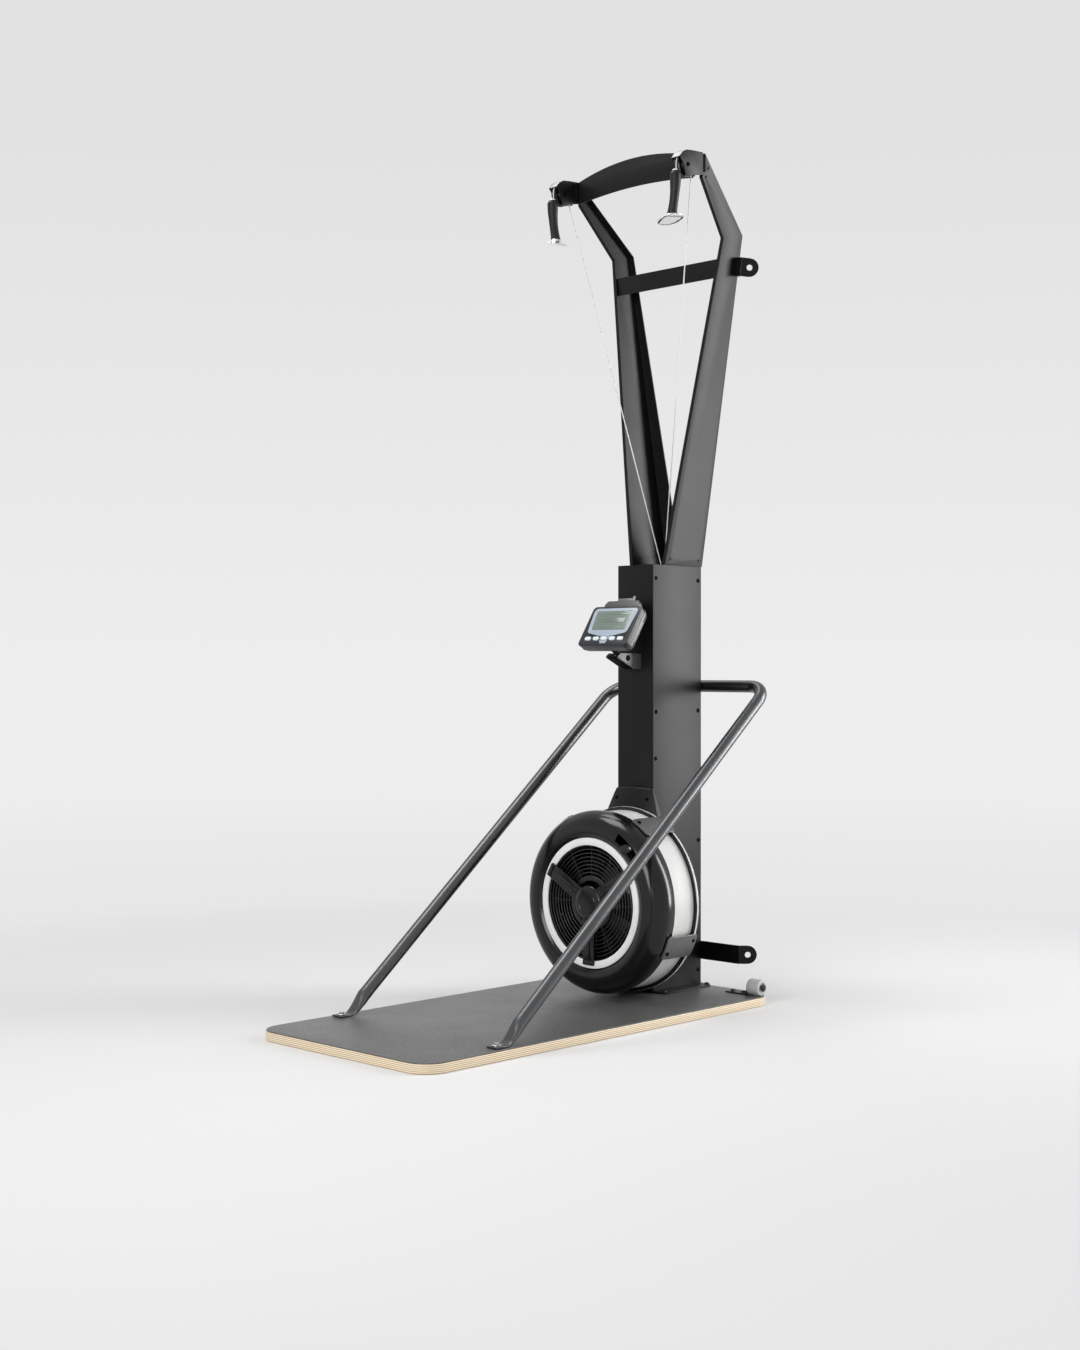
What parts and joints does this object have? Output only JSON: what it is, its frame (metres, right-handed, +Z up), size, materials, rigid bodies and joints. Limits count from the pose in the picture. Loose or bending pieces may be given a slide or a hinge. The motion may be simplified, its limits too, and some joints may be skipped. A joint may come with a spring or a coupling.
{
  "type": "ski trainer machine",
  "caption": "Standing ski trainer: plywood platform, black steel column with forked arms, air-resistance fan, two pull handles on cords, slanted rail and tilting monitor.",
  "frame": {"origin": "on the floor, at the centre of the platform's underside", "axes": "+Z up; +Y from the user to the machine's back; +X to the user's right as they face the machine"},
  "size_m": [0.619, 1.2968, 2.294],
  "materials": {
    "ply": "clear-coated birch plywood, layered edge",
    "mat": "fine-grained non-slip mat",
    "coat": "satin black powder coat",
    "black_plastic": "semi-gloss moulded black plastic",
    "rubber": "soft black moulded grip",
    "white": "satin white plastic",
    "silver": "bright satin silver sheet",
    "tube": "polished graphite tube",
    "chrome": "mirror chrome",
    "steel": "zinc-plated steel",
    "aluminium": "cast and machined aluminium",
    "cord": "braided light grey cord",
    "bezel": "grained dark plastic",
    "lens": "clear window over a grey-green display",
    "key": "pale translucent rubber key",
    "roller": "grey moulded roller"
  },
  "bodies": {
    "frame": {"platform_board": "ply", "platform_mat": "mat", "column_foot": "coat", "column_front_cover": "coat", "column_spine": "coat", "column_panel_left": "coat", "column_panel_right": "coat", "column_top_plate": "coat", "arm_left": "coat", "arm_right": "coat", "crossbar": "coat", "head_band": "coat", "head_bracket_left": "coat", "head_bracket_right": "coat", "cord_left": "cord", "cord_right": "cord", "rail_tube": "tube", "rail_fixing_left": "steel", "rail_fixing_right": "steel", "wall_bar": "coat", "wall_tab_left": "coat", "wall_tab_right": "coat", "fan_front_shell": "black_plastic", "fan_intake_ring": "white", "fan_exhaust_band": "silver", "fan_rear_shell": "black_plastic", "fan_guard": "black_plastic", "fan_hub_cover": "black_plastic", "fan_clip_upper_right": "black_plastic", "fan_clip_lower_right": "black_plastic", "fan_clip_lower_left": "black_plastic", "fan_clip_upper_left": "black_plastic", "neck_cover": "black_plastic", "bearing_front": "steel", "bearing_rear": "steel", "axle_cradle": "steel", "monitor_bracket": "coat", "roller_bracket_left": "coat", "roller_bracket_right": "coat"},
    "flywheel": {"flywheel": "aluminium", "flywheel_axle": "steel"},
    "pulley_left": {"head_pulley_left": "black_plastic"},
    "pulley_right": {"head_pulley_right": "black_plastic"},
    "drum_left": {"cord_drum_left": "black_plastic"},
    "drum_right": {"cord_drum_right": "black_plastic"},
    "handle_left": {"handle_grip_left": "rubber", "handle_base_left": "chrome"},
    "handle_right": {"handle_grip_right": "rubber", "handle_base_right": "chrome"},
    "damper": {"fan_damper": "black_plastic"},
    "monitor": {"monitor_front_case": "bezel", "monitor_rear_case": "bezel", "monitor_lens": "lens"},
    "roller_left": {"transport_roller_left": "roller"},
    "roller_right": {"transport_roller_right": "roller"},
    "key_1": {"monitor_key_1": "key"},
    "key_2": {"monitor_key_2": "key"},
    "key_3": {"monitor_key_3": "key"},
    "key_4": {"monitor_key_4": "key"},
    "key_5": {"monitor_key_5": "key"}
  },
  "joints": [
    {"name": "flywheel_spin", "type": "hinge", "parent": "frame", "child": "flywheel", "pos_m": [0, 0.3, 0.2805], "axis": [0, 1, 0], "continuous": true},
    {"name": "handle_left_pull", "type": "slide", "parent": "frame", "child": "handle_left", "axis": [0, 0, -1], "range_m": [0, 1.35], "stiffness_N_per_m": 10, "springref_m": -1, "deforming": ["cord_left"]},
    {"name": "handle_right_pull", "type": "slide", "parent": "frame", "child": "handle_right", "axis": [0, 0, -1], "range_m": [0, 1.35], "stiffness_N_per_m": 10, "springref_m": -1, "deforming": ["cord_right"]},
    {"name": "pulley_left_spin", "type": "hinge", "parent": "frame", "child": "pulley_left", "pos_m": [-0.222, 0.3562, 2.2221], "axis": [1, 0, 0], "continuous": true},
    {"name": "pulley_right_spin", "type": "hinge", "parent": "frame", "child": "pulley_right", "pos_m": [0.222, 0.3562, 2.2221], "axis": [1, 0, 0], "continuous": true},
    {"name": "drum_left_spin", "type": "hinge", "parent": "frame", "child": "drum_left", "pos_m": [0, 0.467, 0.2805], "axis": [0, 1, 0], "continuous": true},
    {"name": "drum_right_spin", "type": "hinge", "parent": "frame", "child": "drum_right", "pos_m": [0, 0.503, 0.2805], "axis": [0, 1, 0], "continuous": true},
    {"name": "damper_turn", "type": "hinge", "parent": "frame", "child": "damper", "pos_m": [0, 0.245, 0.2805], "axis": [0, 1, 0], "range_deg": [-11, 11]},
    {"name": "monitor_tilt", "type": "hinge", "parent": "frame", "child": "monitor", "pos_m": [0, 0.363, 0.9325], "axis": [1, 0, 0], "range_deg": [-12, 8]},
    {"name": "key_1_press", "type": "slide", "parent": "monitor", "child": "key_1", "axis": [0, 0.8329, -0.5534], "range_m": [0, 0.0015], "stiffness_N_per_m": 600, "springref_m": -0.0008},
    {"name": "key_2_press", "type": "slide", "parent": "monitor", "child": "key_2", "axis": [0, 0.8329, -0.5534], "range_m": [0, 0.0015], "stiffness_N_per_m": 600, "springref_m": -0.0008},
    {"name": "key_3_press", "type": "slide", "parent": "monitor", "child": "key_3", "axis": [0, 0.8329, -0.5534], "range_m": [0, 0.0015], "stiffness_N_per_m": 600, "springref_m": -0.0008},
    {"name": "key_4_press", "type": "slide", "parent": "monitor", "child": "key_4", "axis": [0, 0.8329, -0.5534], "range_m": [0, 0.0015], "stiffness_N_per_m": 600, "springref_m": -0.0008},
    {"name": "key_5_press", "type": "slide", "parent": "monitor", "child": "key_5", "axis": [0, 0.8329, -0.5534], "range_m": [0, 0.0015], "stiffness_N_per_m": 600, "springref_m": -0.0008},
    {"name": "roller_left_spin", "type": "hinge", "parent": "frame", "child": "roller_left", "pos_m": [-0.282, 0.59, 0.047], "axis": [1, 0, 0], "continuous": true},
    {"name": "roller_right_spin", "type": "hinge", "parent": "frame", "child": "roller_right", "pos_m": [0.282, 0.59, 0.047], "axis": [1, 0, 0], "continuous": true}
  ],
  "couplings": [
    {"joint": "pulley_left_spin", "follows": "handle_left_pull", "rad_per_m": 33.333},
    {"joint": "drum_left_spin", "follows": "handle_left_pull", "rad_per_m": -30.96},
    {"joint": "pulley_right_spin", "follows": "handle_right_pull", "rad_per_m": 33.333},
    {"joint": "drum_right_spin", "follows": "handle_right_pull", "rad_per_m": -30.96}
  ]
}
